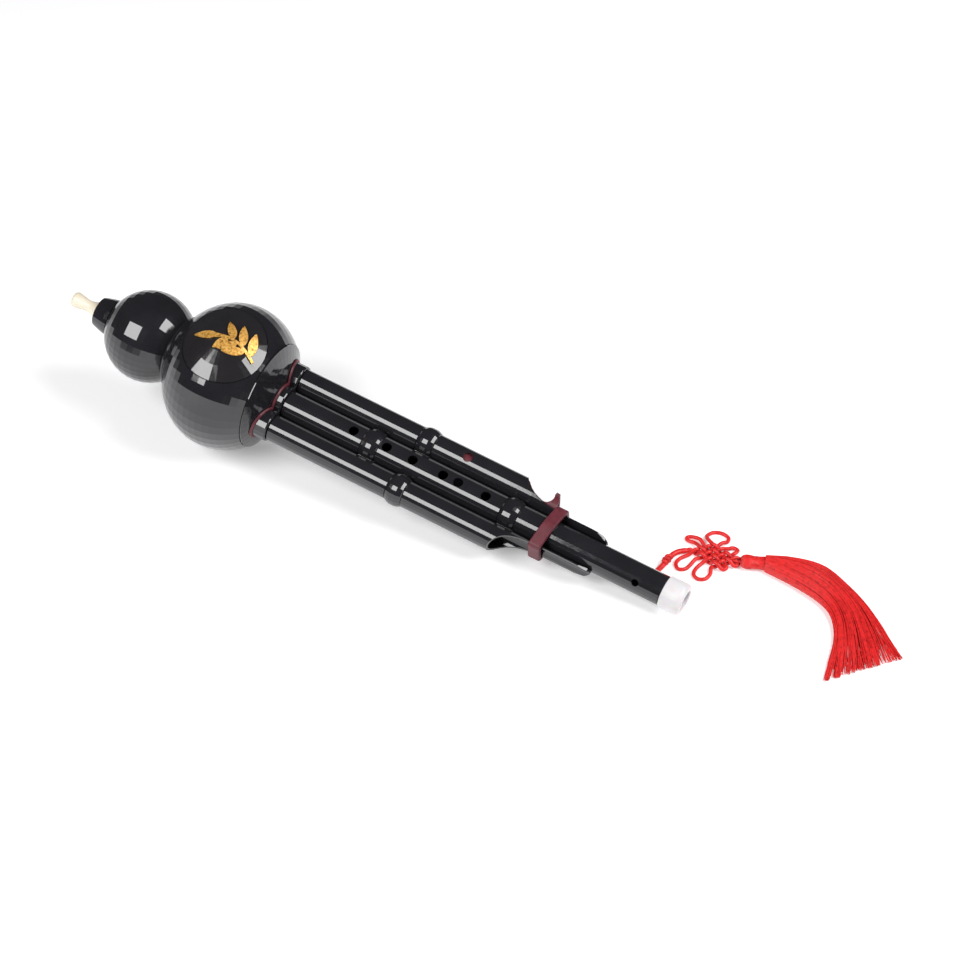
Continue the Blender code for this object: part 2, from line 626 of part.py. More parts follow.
def scoop_edge(x):
    return SCOOP_FLOOR + (DRONE_SPACING + DRONE_RADIUS - SCOOP_FLOOR) * exp(-(x - SCOOP_START) / SCOOP_FALL)


def scoop_cutters(side):
    """Cutters that leave a rounded tongue beside the main pipe."""
    far = DRONE_SPACING + DRONE_RADIUS + 4 * MM
    stations = [SCOOP_START + SCOOP_FALL * 4.6 * (k / 13) ** 1.5 for k in range(14)] + [TONGUE_END + 8 * MM]
    edge = [(x, side * scoop_edge(x)) for x in stations]
    edge[0] = (edge[0][0], side * (DRONE_SPACING + DRONE_RADIUS + 0.5 * MM))
    first = prism("scoop", [(SCOOP_START, side * far)] + edge + [(stations[-1], side * far)], -12 * MM, 12 * MM, instrument)
    height = DRONE_RADIUS * 0.8
    start = TONGUE_END - TONGUE_ROUNDING
    nose = [(start + TONGUE_ROUNDING * cos(a), height * sin(a)) for a in spaced(-pi / 2, pi / 2, 13)]
    around = [(start, -12 * MM)] + nose + [(start, 12 * MM), (TONGUE_END + 8 * MM, 12 * MM), (TONGUE_END + 8 * MM, -12 * MM)]
    low, high = sorted((side * 5 * MM, side * far))
    second = prism("nose", around, low, high, instrument, "XZ")
    return [first, second]


# Drones, scooped away past their speaking length
drones = {}
for name, side in (("drone_left", 1), ("drone_right", -1)):
    outline = pipe_outline(DRONE_RADIUS, DRONE_BORE, (DRONE_NODE,), TONGUE_END + 3 * MM)
    pipe = turned(name, outline, 24, BLACK, instrument)
    pipe.data.transform(Matrix.Translation((0.0, side * DRONE_SPACING, 0.0)))
    cutters = reed_seat(side * DRONE_SPACING, drone_tenon) + scoop_cutters(side) + [relief(DRONE_NODE, 0.0, MAIN_RADIUS)]
    if side > 0:
        cutters.append(drill("hole", DRONE_HOLE, DRONE_SPACING, DRONE_HOLE_RADIUS, pi / 2, DRONE_BORE * 0.6,
                             DRONE_RADIUS * 1.5, instrument))
    carve(pipe, cutters)
    drones[name] = pipe

# Turning sleeve: shuts the left drone's hole, with a notch and a lug for the finger
sleeve_outer = DRONE_BORE - GAP


def lug(x, a):
    """How far the sleeve's wall is pushed out at a station and an angle from the side."""
    along = max(0.0, 1.0 - ((x - SLEEVE_LUG_STATION) / SLEEVE_LUG_HALF_LENGTH) ** 2)
    turn = (a + pi) % (2 * pi) - pi
    round_it = cos(turn / SLEEVE_LUG_HALF_ANGLE * pi / 2) ** 2 if abs(turn) < SLEEVE_LUG_HALF_ANGLE else 0.0
    return SLEEVE_LUG_RISE * along * round_it


stations = [SLEEVE_START] + spaced(SLEEVE_LUG_STATION - SLEEVE_LUG_HALF_LENGTH, SLEEVE_END, 6)
turns = [2 * pi * k / 24 for k in range(24)]
sections = []
for radius, places in ((sleeve_outer, stations), (sleeve_outer - SLEEVE_WALL, stations[::-1])):
    for x in places:
        ring = [radius + lug(x, a) for a in turns]
        sections.append([(x, DRONE_SPACING + r * cos(a), r * sin(a)) for r, a in zip(ring, turns)])
drone_sleeve = lofted("drone_sleeve", sections, MAROON, instrument, looped=True)
slope = [(x, NOTCH_FLOOR + NOTCH_DEPTH * exp(-(x - NOTCH_START) / NOTCH_FALL)) for x in spaced(NOTCH_START, NOTCH_HEEL[0] - 2 * MM, 8)]
heel = arc(NOTCH_HEEL, NOTCH_HEEL_RADIUS, radians(-100), radians(35), 8)
notch = prism("notch", slope + heel + [(NOTCH_HEEL[0] + 2.3 * MM, 28 * MM), (NOTCH_START, 28 * MM)], -10 * MM, 10 * MM, instrument)
bevel = [(SLEEVE_END + 1 * MM, 14.4 * MM), (SLEEVE_END + 3 * MM, 28 * MM), (NOTCH_HEEL[0] + 3.4 * MM, 28 * MM)]
trim = prism("trim", bevel, -10 * MM, 10 * MM, instrument)
window = drill("window", DRONE_HOLE, DRONE_SPACING, DRONE_HOLE_RADIUS, 0.0, DRONE_BORE * 0.5, DRONE_RADIUS * 1.5, instrument)
carve(drone_sleeve, [notch, trim, window])
rest_on(drone_sleeve, ((SLEEVE_START + SLEEVE_END) / 2, DRONE_SPACING, 0.0))


def wrap_outline(discs, growth, count=48):
    """Outline stretched round a set of discs (y, z, radius), each grown alike."""
    points = []
    for k in range(count):
        u = Vector((cos(2 * pi * k / count), sin(2 * pi * k / count)))
        y, z, r = max(discs, key=lambda d: d[0] * u.x + d[1] * u.y + d[2])
        points.append((y + (r + growth) * u.x, z + (r + growth) * u.y))
    return points


# Binding band round the main pipe and both tongues, sitting a little askew
corner = 0.8 * MM
tongue_y = scoop_edge(BAND_STATION - BAND_WIDTH / 2 - BAND_SKEW * DRONE_SPACING)
reach_y = tongue_y + GAP - corner
reach_z = sqrt(DRONE_RADIUS**2 - (DRONE_SPACING - tongue_y) ** 2) + GAP - corner
discs = [(0.0, 0.0, MAIN_RADIUS + GAP)] + [(sy * reach_y, sz * reach_z, corner) for sy in (1, -1) for sz in (1, -1)]
half = BAND_WIDTH / 2
shoulder = half - BAND_EDGE
sections = []
for dx, growth in ((-half, 0.0), (-half, BAND_THICKNESS - BAND_EDGE), (-shoulder, BAND_THICKNESS), (shoulder, BAND_THICKNESS),
                   (half, BAND_THICKNESS - BAND_EDGE), (half, 0.0)):
    sections.append([(BAND_STATION + BAND_SKEW * y + dx, y, z) for y, z in wrap_outline(discs, growth)])
binding_band = lofted("binding_band", sections, MAROON, instrument, looped=True)
rest_on(binding_band, (BAND_STATION, 0.0, 0.0))

# End cap
seam = PIPE_END + GAP
tenon_start = seam - CAP_TENON_LENGTH
outline = [(seam, CAP_TENON_RADIUS), (seam, CAP_RADIUS - 0.3 * MM), (seam + 0.3 * MM, CAP_RADIUS)]
outline += arc((CAP_END - CAP_EDGE, CAP_RADIUS - CAP_EDGE), CAP_EDGE, pi / 2, 0.0, 5)
outline += arc((CAP_END - 0.7 * MM, CAP_MOUTH + 0.7 * MM), 0.7 * MM, 0.0, -pi / 2, 4)[1:]
outline += [(seam + 2 * MM, CAP_MOUTH), (seam + 2 * MM, CAP_TENON_BORE), (tenon_start, CAP_TENON_BORE), (tenon_start, CAP_TENON_RADIUS)]
end_cap = turned("end_cap", outline, 32, WHITE, instrument, DOWN)
rest_on(end_cap, (seam, 0.0, 0.0))
rest_on(mouthpiece, (MOUTHPIECE_LENGTH, 0.0, 0.0))

# Reeds over their windows, and the plugs that close the pipes' heads
half_l, half_w = REED_LENGTH / 2, REED_WIDTH / 2
slit_l, slit_w = TONGUE_LENGTH / 2, TONGUE_WIDTH / 2
loop = [(-slit_l, slit_w), (slit_l, slit_w), (slit_l, -slit_w), (-slit_l, -slit_w)]
loop += [(-slit_l, -slit_w - REED_SLIT), (slit_l + REED_SLIT, -slit_w - REED_SLIT)]
loop += [(slit_l + REED_SLIT, slit_w + REED_SLIT), (-slit_l, slit_w + REED_SLIT)]
reed_mesh = None
plug_outlines = {}
for label, across, tenon in (("main", 0.0, main_tenon), ("drone_left", DRONE_SPACING, drone_tenon),
                             ("drone_right", -DRONE_SPACING, drone_tenon)):
    level = tenon - REED_FLAT_DEPTH + 0.2 * MM
    if reed_mesh is None:
        reed = block(label + "_reed", (-half_l, half_l), (-half_w, half_w), (0.0, REED_THICKNESS), instrument)
        reed.data.materials.append(BRASS)
        carve(reed, [prism("slit", loop, -1 * MM, 1 * MM, instrument)])
        reed_mesh = reed.data
    else:
        reed = bpy.data.objects.new(label + "_reed", reed_mesh)
        bpy.context.scene.collection.objects.link(reed)
        reed.parent = instrument
    reed.location = (REED_STATION, across, level)
    stem = tenon - TENON_WALL - GAP
    start = HEAD_STATION - GAP
    outline = [(start - PLUG_HEAD, 0.0), (start - PLUG_HEAD, tenon - 0.4 * MM), (start - PLUG_HEAD + 0.4 * MM, tenon), (start, tenon)]
    outline += [(start, stem), (start + PLUG_STEM, stem), (start + PLUG_STEM, 0.0)]
    plug = turned(label + "_head_plug", outline, 20, CORK, instrument)
    plug.location = (0.0, across, 0.0)
    soften(plug)

# Cord from the eye in the pipe down to the table, up to the stopper knot, and on to the flat knot
eye = pose @ Vector((CORD_HOLE, 0.0, 0.0))
out = (pose.to_3x3() @ Vector((0.0, cos(CORD_HOLE_ANGLE), sin(CORD_HOLE_ANGLE)))).normalized()
lying = CORD_RADIUS + TABLE_CLEARANCE
leave = eye + out * (MAIN_RADIUS + 0.6 * MM)
route = [eye + out * (MAIN_BORE - 0.6 * MM), leave, eye + out * (MAIN_RADIUS + 3.4 * MM) + Vector((0.3 * MM, 0.3 * MM, -0.5 * MM))]
route += [Vector((171.6 * MM, 17.4 * MM, 2.7 * MM)), Vector((172.0 * MM, 21.4 * MM, lying)), Vector((*BEAD_FROM, lying))]
cord = tube("cord", smooth_path(route, 14), CORD_RADIUS, 2, RED, None)

bead_axis = Vector((*BEAD_TO, 0.0)) - Vector((*BEAD_FROM, 0.0))
bead_length = bead_axis.length - 2 * GAP
bead_turn = atan2(bead_axis.y, bead_axis.x)
outline = [(-bead_length / 2, 0.0)] + [(-bead_length / 2 * cos(a), BEAD_RADIUS * (0.62 + 0.38 * sin(a))) for a in spaced(0.0, pi, 9)]
outline += [(bead_length / 2, 0.0)]
stopper_knot = turned("stopper_knot", outline, 16, RED, None)
stopper_knot.location = ((BEAD_FROM[0] + BEAD_TO[0]) / 2, (BEAD_FROM[1] + BEAD_TO[1]) / 2, BEAD_RADIUS + TABLE_CLEARANCE)
stopper_knot.rotation_euler = (0.0, 0.0, bead_turn)

straight = bead_axis.normalized() * 1.6 * MM
route = [Vector((*BEAD_TO, lying)), Vector((*BEAD_TO, lying)) + straight, Vector((175.2 * MM, 39.6 * MM, lying)), Vector((*LEAD_END, lying))]
lead_cord = tube("lead_cord", smooth_path(route, 7), CORD_RADIUS, 2, RED, None)

# Flat knot: one strand laid across and back four times, then woven through itself four times the other way
low = STRAND_RADIUS + TABLE_CLEARANCE
high = low + KNOT_LIFT
left = np.array(KNOT_LEFT)
up = np.array(KNOT_UP)
across = np.array(KNOT_ACROSS)


def lattice(a, b):
    """Place in the knot's plane: a along the across side and b along the up side, both 0 to 1."""
    return left + across * a + up * b


def crossings(kind, index, forward):
    """Points of one straight run, level over each crossing and steep between them."""
    spots = []
    order = range(KNOT_STRANDS) if forward else range(KNOT_STRANDS - 1, -1, -1)
    for other in order:
        over = (index + other) % 2 == (0 if kind == "up" else 1)
        for shift in ((-KNOT_FLAT, KNOT_FLAT) if forward else (KNOT_FLAT, -KNOT_FLAT)):
            here = (index + 0.5) / KNOT_STRANDS
            there = (other + 0.5 + shift) / KNOT_STRANDS
            spot = lattice(here, there) if kind == "up" else lattice(there, here)
            spots.append((*spot, high if over else low))
    return spots


def ear(points, level):
    """A loop outside the weave through places given in millimetres."""
    return [(x * MM, y * MM, z * MM + level) for x, y, z in points]


weave = [(LEAD_END[0] + GAP, LEAD_END[1] + GAP, lying), (*lattice(-0.03, 0.07), low + 0.4 * KNOT_LIFT)]
weave += crossings("across", 0, True)
weave += ear([(201.8, 39.6, 0.9), (203.6, 40.4, 0.7), (203.8, 42.2, 0.9)], low)
weave += crossings("across", 1, False)
weave += ear([(180.6, 50.6, 1.0), (176.0, 51.2, 0.2), (174.3, 53.2, 0.0), (176.6, 55.0, 0.2), (182.0, 54.4, 1.1)], low)
weave += crossings("across", 2, True)
weave += ear([(206.4, 45.3, 0.9), (208.1, 46.2, 0.7), (208.3, 48.0, 0.9)], low)
weave += crossings("across", 3, False)
weave += ear([(184.6, 57.6, 1.0), (183.6, 60.6, 0.2), (185.6, 64.4, 0.0), (190.2, 66.0, 0.0), (194.4, 64.6, 0.0), (195.4, 61.2, 0.2), (193.6, 58.2, 1.0)], low)
weave += crossings("up", 0, False)
weave += ear([(181.4, 40.6, 0.9), (178.4, 36.4, 0.1), (178.0, 31.6, 0.0), (180.8, 28.4, 0.0), (184.2, 30.2, 0.0), (185.4, 34.6, 0.1), (186.2, 39.2, 0.9)], low)
weave += crossings("up", 1, True)
weave += ear([(198.4, 55.6, 1.1), (200.4, 58.2, 0.5), (203.4, 57.6, 0.5), (203.2, 54.2, 1.1)], low)
weave += crossings("up", 2, False)
weave += ear([(190.8, 38.4, 0.9), (189.4, 33.4, 0.1), (190.2, 28.8, 0.0), (193.6, 26.8, 0.0), (197.2, 28.8, 0.0), (198.0, 33.4, 0.1), (196.6, 37.4, 0.9)], low)
weave += crossings("up", 3, True)
weave += [(*lattice(0.93, 1.1), low + 0.5 * KNOT_LIFT)]
knot = tube("knot", weave, STRAND_RADIUS, 1, RED, None)


def least_gap(points, radius):
    """Least clear space between parts of a tube that aren't next to each other."""
    line = np.array(points)
    steps = np.linalg.norm(np.diff(line, axis=0), axis=1)
    travel = np.concatenate([[0.0], np.cumsum(steps)])
    marks = np.arange(0.0, travel[-1], 0.15 * MM)
    dense = np.stack([np.interp(marks, travel, line[:, k]) for k in range(3)], axis=1)
    least = (1.0, 0, 0)
    for k in range(len(dense)):
        later = dense[k + int(ceil(5.0 * radius / (0.15 * MM))):]
        if len(later):
            away = np.linalg.norm(later - dense[k], axis=1)
            least = min(least, (away.min(), k, k + int(away.argmin())))
    return least[0] - 2 * radius, dense[least[1]], len(points)


clear, where, count = least_gap(weave, STRAND_RADIUS)
print("knot: least gap to itself %.2f mm near x %.1f y %.1f, %d points" % (clear / MM, where[0] / MM, where[1] / MM, count))


def lying_ellipse(centre, heading, half_width, half_height, count=20):
    """An upright elliptical section standing on the table, across a heading."""
    side = Vector((-sin(heading), cos(heading), 0.0))
    base = Vector((centre[0], centre[1], half_height + TABLE_CLEARANCE))
    turns = [2 * pi * k / count for k in range(count)]
    return [base + side * half_width * cos(a) + Vector((0.0, 0.0, half_height * sin(a))) for a in turns]


# Tassel head: a wrapped ball narrowing to the bound neck
head_run = Vector(HEAD_TO) - Vector(HEAD_FROM)
heading = atan2(head_run.y, head_run.x)
swell = [(0.0, 0.62), (0.06, 0.86), (0.18, 1.0), (0.36, 0.98), (0.55, 0.86), (0.8, 0.88), (1.0, 0.94)]
sections = [lying_ellipse(Vector(HEAD_FROM) + head_run * t, heading, HEAD_HALF_WIDTH * s, HEAD_HALF_HEIGHT * s) for t, s in swell]
tassel_head = lofted("tassel_head", sections, RED, None)

# Tassel skirt: a flat fan of threads curving round on the table
inner_line = smooth_path([(x * MM, y * MM) for x, y in SKIRT_INNER], 14)
outer_line = smooth_path([(x * MM, y * MM) for x, y in SKIRT_OUTER], 14)
sections = []
for k, (a, b) in enumerate(zip(inner_line, outer_line)):
    t = k / 13
    thick = SKIRT_THICKNESS[0] + (SKIRT_THICKNESS[1] - SKIRT_THICKNESS[0]) * t**0.6
    ring = []
    for turn in [2 * pi * j / 16 for j in range(16)]:
        s = cos(turn)
        spot = (a + b) / 2 + (b - a) / 2 * s
        fold = 1.0 + 0.10 * t * sin(9.0 * s + 1.0)
        rise = thick / 2 * (1.0 + sin(turn) * (fold if sin(turn) > 0 else 1.0))
        ring.append((spot[0], spot[1], TABLE_CLEARANCE + rise))
    sections.append(ring)
tassel_skirt = lofted("tassel_skirt", sections, RED, None)

for item in (mouthpiece, neck_collar, upper_bulb, lower_bulb, medallion_disc, seat_plate, pipe_holder, seat_cement, main_pipe,
             drone_sleeve, binding_band, end_cap, stopper_knot, tassel_head, tassel_skirt, *drones.values()):
    soften(item)
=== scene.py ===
# A gourd flute on a white table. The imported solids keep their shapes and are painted. The cord, its
# stopper, the flat knot and the tassel are made here of round strands, in place of their solids.
import bpy
import random
from math import cos, pi, radians, sin
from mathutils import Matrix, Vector


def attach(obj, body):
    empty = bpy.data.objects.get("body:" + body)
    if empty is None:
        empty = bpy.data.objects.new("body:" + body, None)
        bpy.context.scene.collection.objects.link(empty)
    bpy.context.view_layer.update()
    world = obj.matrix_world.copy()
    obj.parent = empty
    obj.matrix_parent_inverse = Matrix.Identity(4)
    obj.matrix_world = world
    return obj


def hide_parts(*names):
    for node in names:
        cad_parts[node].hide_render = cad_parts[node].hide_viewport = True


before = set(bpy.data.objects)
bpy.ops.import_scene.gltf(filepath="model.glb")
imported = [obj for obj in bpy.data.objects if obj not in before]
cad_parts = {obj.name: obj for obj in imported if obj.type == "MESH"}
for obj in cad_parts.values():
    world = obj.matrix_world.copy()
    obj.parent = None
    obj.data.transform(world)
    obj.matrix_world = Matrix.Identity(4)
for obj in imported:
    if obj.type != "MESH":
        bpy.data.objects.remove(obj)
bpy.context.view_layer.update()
MM = 0.001

# Camera, fitted to the photograph; the shifts are in the picture's pixels
AZIMUTH, ELEVATION, DISTANCE = radians(30.31), radians(42.56), 1.7
TARGET = Vector((-0.00015, 0.0, 0.03247))
FOCAL_LENGTH, SENSOR_WIDTH = 111.74, 36.0
PICTURE_SIDE, SHIFT_X, SHIFT_Y = 974, 117.4, -42.0
NEAR_LIMIT = 0.05

# Cord: out of the eye in the pipe's side, down to the table, and on through knot and tassel
CORD_RADIUS = 1.6 * MM
CORE_SHARE = 0.52
CORD_POINTS, CORE_POINTS = 24, 44
CORD_BEVEL = 5
EYE = Vector((0.170668, 0.0, 0.012350))
OUT = Vector((-0.0517, 0.8944, -0.4443)).normalized()
EYE_TO_SURFACE, EYE_TO_CLEAR = 9.2, 12.0  # in mm
TABLE_GAP = 0.06 * MM
LYING = CORD_RADIUS + TABLE_GAP
CURVE_STEPS = 12

# Stopper: the cord wound over itself, between two points of the cord on the table
BEAD_FROM, BEAD_TO = Vector((172.6, 25.4, 0)) * MM, Vector((173.4, 35.0, 0)) * MM
BEAD_TURNS, BEAD_POINTS, BEAD_START_ANGLE = 2.6, 60, 0.6
BEAD_RADIUS, BEAD_SWELL = 1.05, 0.45
BEAD_MARGIN, BEAD_SHARE = 0.16, 0.68
BEAD_HEIGHT = 2.55 * MM
BEAD_STRAND = 1.05 * MM

# Flat knot: a plain weave of one strand, COUNT rows each way, over the parallelogram of LEFT, UP, ACROSS
LOW, LIFT, FLAT, COUNT = 0.88 * MM, 2.6 * MM, 0.28, 4
LEFT, UP, ACROSS = Vector((180.2, 43.6)) * MM, Vector((9.6, 11.6)) * MM, Vector((18.8, -5.2)) * MM
WEAVE_STEPS = 5
KNOT_STRAND = 1.12 * MM

# Tassel head: threads over a swelling core, wound at the neck
HEAD_FROM, HEAD_TO = Vector((209.6, 48.9, 0)) * MM, Vector((221.2, 53.6, 0)) * MM
HEAD_HALF_WIDTH, HEAD_HALF_HEIGHT, HEAD_MIDDLE = 4.35 * MM, 3.3 * MM, 3.66 * MM
HEAD_PROFILE = [(0.0, 0.62), (0.06, 0.86), (0.18, 1.0), (0.36, 0.98), (0.55, 0.86), (0.8, 0.88),
                (1.0, 0.94), (1.3, 1.05)]
HEAD_THREADS, HEAD_POINTS, HEAD_START, HEAD_REACH = 96, 14, -0.02, 1.08
HEAD_TWIST, HEAD_ROUGHNESS = 0.25, 0.03
HEAD_STRAND = 0.3 * MM
NECK_FROM, NECK_REACH, NECK_SIZE = 0.42, 0.34, 0.9
NECK_TURNS, NECK_POINTS = 9, 240
NECK_STRAND = 0.32 * MM

# Tassel skirt: its two edges on the table, in mm, and how a thread lies between them
INNER_EDGE = [(223.4, 49.6), (244.6, 46.0), (263.3, 39.8), (273.6, 29.0), (279.2, 13.9), (283.8, -11.0)]
OUTER_EDGE = [(219.9, 58.2), (231.0, 64.9), (249.0, 69.0), (266.0, 63.2), (285.8, 51.4), (314.5, 26.9)]
EDGE_STEPS, EDGE_POINTS = 16, 40
SKIRT_THREADS, SKIRT_POINTS = 620, 26
SKIRT_STRAND, TIP_TAPER = 0.36 * MM, 0.35
EDGE_CROWDING, EDGE_SHARE = 0.12, 0.97
TIP_SPREAD, TIP_POWER = 0.16, 1.6
FULL_TURN, SWAY_MOST = 6.28, 0.9
SWAY_RATE_X, SWAY_RATE_Y, SWAY_CYCLES = 3.1, 2.7, 3
BROAD_LOCK, BROAD_RATE, BROAD_START = 0.10, 7.0, 0.8
FINE_LOCK, FINE_RATE = 0.05, 17.0
ROOT_HEIGHT, ROOT_POWER, TIP_HEIGHT, REST_HEIGHT = 6.4, 0.7, 1.5, 0.4 * MM
LEVEL_LEAST, ARCH_LEAST = 0.15, 0.35

# Floor, lights and surroundings; radiance is each softbox's brightness as a surface
FLOOR_HALF = 4.0
FLOOR_COLOUR, FLOOR_GLOW = (0.86, 0.86, 0.87, 1.0), 0.30
LIGHT_CENTRE = Vector((-0.05, 0, 0.03))
LIGHT_DISTANCE, LIGHT_SIZE, LIGHT_RADIANCE = 1.3, 0.85, 9.0
LEFT_SOFTBOX, RIGHT_SOFTBOX = (-0.328, -0.668, 0.662), (0.671, 0.161, 0.699)
ROOM_COLOUR = (0.05, 0.05, 0.055, 1.0)


def add_to_scene(name, data):
    item = bpy.data.objects.new(name, data)
    bpy.context.scene.collection.objects.link(item)
    return item


def make_camera():
    back = Vector((sin(AZIMUTH) * cos(ELEVATION), -cos(AZIMUTH) * cos(ELEVATION), sin(ELEVATION)))
    lens = bpy.data.cameras.new("camera")
    lens.lens = FOCAL_LENGTH
    lens.sensor_width = SENSOR_WIDTH
    lens.shift_x = SHIFT_X / PICTURE_SIDE
    lens.shift_y = SHIFT_Y / PICTURE_SIDE
    lens.clip_start = NEAR_LIMIT
    camera = add_to_scene("camera", lens)
    camera.location = TARGET + back * DISTANCE
    camera.rotation_mode = "QUATERNION"
    camera.rotation_quaternion = (-back).to_track_quat("-Z", "Y")
    bpy.context.scene.camera = camera


def catmull(points, per_span):
    """Points on a smooth curve through the given ones."""
    known = [Vector(p) for p in points]
    padded = [2 * known[0] - known[1]] + known + [2 * known[-1] - known[-2]]
    fine = []
    for a, b, c, d in zip(padded, padded[1:], padded[2:], padded[3:]):
        for k in range(per_span):
            t = k / per_span
            square = 2 * a - 5 * b + 4 * c - d
            cube = 3 * b - a - 3 * c + d
            fine.append(0.5 * (2 * b + (c - a) * t + square * t**2 + cube * t**3))
    return fine + [known[-1]]


def resample(points, count):
    """The same line at evenly spaced points, and its length."""
    travel = [0.0]
    for a, b in zip(points, points[1:]):
        travel.append(travel[-1] + (b - a).length)
    out, j = [], 0
    for k in range(count):
        mark = travel[-1] * k / (count - 1)
        while j < len(travel) - 2 and travel[j + 1] < mark:
            j += 1
        span = travel[j + 1] - travel[j]
        out.append(points[j].lerp(points[j + 1], (mark - travel[j]) / span if span else 0.0))
    return out, travel[-1]


def strand_object(name, lines, radius, fineness=4):
    """One object of round strands, each along its own line; a line may be (points, sizes)."""
    data = bpy.data.curves.new(name, "CURVE")
    data.dimensions = "3D"
    data.bevel_depth = radius
    data.bevel_resolution = fineness
    data.use_fill_caps = True
    for line in lines:
        points, sizes = line if isinstance(line, tuple) else (line, None)
        spline = data.splines.new("POLY")
        spline.points.add(len(points) - 1)
        for k, p in enumerate(points):
            spline.points[k].co = (*p, 1.0)
            if sizes:
                spline.points[k].radius = sizes[k]
    return add_to_scene(name, data)


def across(direction):
    """The level direction at right angles to a level one."""
    return Vector((-direction.y, direction.x, 0.0))


make_camera()

# Cord: the route of the part's source, then a thinner core through the flat knot and the tassel
leave = EYE + OUT * EYE_TO_SURFACE * MM
route = [leave, EYE + OUT * EYE_TO_CLEAR * MM + Vector((0.3, 0.3, -0.5)) * MM,
         Vector((171.6, 17.4, 2.7)) * MM,
         Vector((172.0 * MM, 21.4 * MM, LYING)), Vector((172.6 * MM, 25.4 * MM, LYING)),
         Vector((173.4 * MM, 35.0 * MM, LYING)), Vector((175.2 * MM, 39.6 * MM, LYING)),
         Vector((178.3 * MM, 42.6 * MM, LYING))]
core = [Vector((183.5, 44.6, 2.2)) * MM, Vector((194.0, 47.5, 2.2)) * MM,
        Vector((206.0, 48.2, 2.4)) * MM, Vector((214.0, 50.7, 3.6)) * MM,
        Vector((224.0, 54.0, 3.4)) * MM, Vector((238.0, 55.2, 3.0)) * MM,
        Vector((254.0, 52.5, 2.6)) * MM, Vector((268.0, 44.5, 2.3)) * MM,
        Vector((279.5, 32.0, 2.0)) * MM]
thick_points, thick_length = resample(catmull(route, CURVE_STEPS), CORD_POINTS)
core_points, core_length = resample(catmull([route[-1]] + core, CURVE_STEPS), CORE_POINTS)
route_points = thick_points + core_points[1:]
route_sizes = [1.0] * len(thick_points) + [CORE_SHARE] * (len(core_points) - 1)
cord = strand_object("silk_cord", [(route_points, route_sizes)], CORD_RADIUS, CORD_BEVEL)
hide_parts("cord", "lead_cord")


def stopper_line():
    side = across((BEAD_TO - BEAD_FROM).normalized())
    wraps = []
    for k in range(BEAD_POINTS + 1):
        t = k / BEAD_POINTS
        turn = 2 * pi * BEAD_TURNS * t + BEAD_START_ANGLE
        size = (BEAD_RADIUS + BEAD_SWELL * sin(pi * t)) * MM
        centre = BEAD_FROM.lerp(BEAD_TO, BEAD_MARGIN + BEAD_SHARE * t) + Vector((0, 0, BEAD_HEIGHT))
        wraps.append(centre + side * size * cos(turn) + Vector((0, 0, size * sin(turn))))
    return wraps


stopper = strand_object("stopper_wraps", [stopper_line()], BEAD_STRAND, 4)
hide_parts("stopper_knot")


def lattice(a, b):
    return LEFT + ACROSS * a + UP * b


def crossings(kind, index, forward):
    """One row's points, over and under the rows that cross it."""
    spots = []
    for other in (range(COUNT) if forward else range(COUNT - 1, -1, -1)):
        over = (index + other) % 2 == (0 if kind == "up" else 1)
        for shift in ((-FLAT, FLAT) if forward else (FLAT, -FLAT)):
            here, there = (index + 0.5) / COUNT, (other + 0.5 + shift) / COUNT
            spot = lattice(here, there) if kind == "up" else lattice(there, here)
            spots.append(Vector((spot.x, spot.y, LOW + (LIFT if over else 0.0))))
    return spots


def ear(points):
    """A loop beside the weave through points in mm, their heights counted from a lying strand."""
    return [Vector((x * MM, y * MM, z * MM + LOW)) for x, y, z in points]


def knot_line():
    """The same weave and ears as in the part's source, as a smoother line."""
    weave = [Vector((178.6 * MM, 42.9 * MM, LYING)), Vector((*lattice(-0.03, 0.07), LOW + 0.4 * LIFT))]
    weave += crossings("across", 0, True)
    weave += ear([(201.8, 39.6, 0.9), (203.6, 40.4, 0.7), (203.8, 42.2, 0.9)])
    weave += crossings("across", 1, False)
    weave += ear([(180.6, 50.6, 1.0), (176.0, 51.2, 0.2), (174.3, 53.2, 0.0), (176.6, 55.0, 0.2),
                  (182.0, 54.4, 1.1)])
    weave += crossings("across", 2, True)
    weave += ear([(206.4, 45.3, 0.9), (208.1, 46.2, 0.7), (208.3, 48.0, 0.9)])
    weave += crossings("across", 3, False)
    weave += ear([(184.6, 57.6, 1.0), (183.6, 60.6, 0.2), (185.6, 64.4, 0.0), (190.2, 66.0, 0.0),
                  (194.4, 64.6, 0.0), (195.4, 61.2, 0.2), (193.6, 58.2, 1.0)])
    weave += crossings("up", 0, False)
    weave += ear([(181.4, 40.6, 0.9), (178.4, 36.4, 0.1), (178.0, 31.6, 0.0), (180.8, 28.4, 0.0),
                  (184.2, 30.2, 0.0), (185.4, 34.6, 0.1), (186.2, 39.2, 0.9)])
    weave += crossings("up", 1, True)
    weave += ear([(198.4, 55.6, 1.1), (200.4, 58.2, 0.5), (203.4, 57.6, 0.5), (203.2, 54.2, 1.1)])
    weave += crossings("up", 2, False)
    weave += ear([(190.8, 38.4, 0.9), (189.4, 33.4, 0.1), (190.2, 28.8, 0.0), (193.6, 26.8, 0.0),
                  (197.2, 28.8, 0.0), (198.0, 33.4, 0.1), (196.6, 37.4, 0.9)])
    weave += crossings("up", 3, True)
    weave += [Vector((*lattice(0.93, 1.1), LOW + 0.5 * LIFT))]
    return catmull(weave, WEAVE_STEPS)


knot = strand_object("knot_strand", [knot_line()], KNOT_STRAND, 4)
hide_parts("knot")

random.seed(7)
head_side = across((HEAD_TO - HEAD_FROM).normalized())


def swell(t):
    """The head's thickness at t of its length, as a share of its widest."""
    for (a, p), (b, q) in zip(HEAD_PROFILE, HEAD_PROFILE[1:]):
        if t <= b:
            return p + (q - p) * (t - a) / (b - a)
    return HEAD_PROFILE[-1][1]


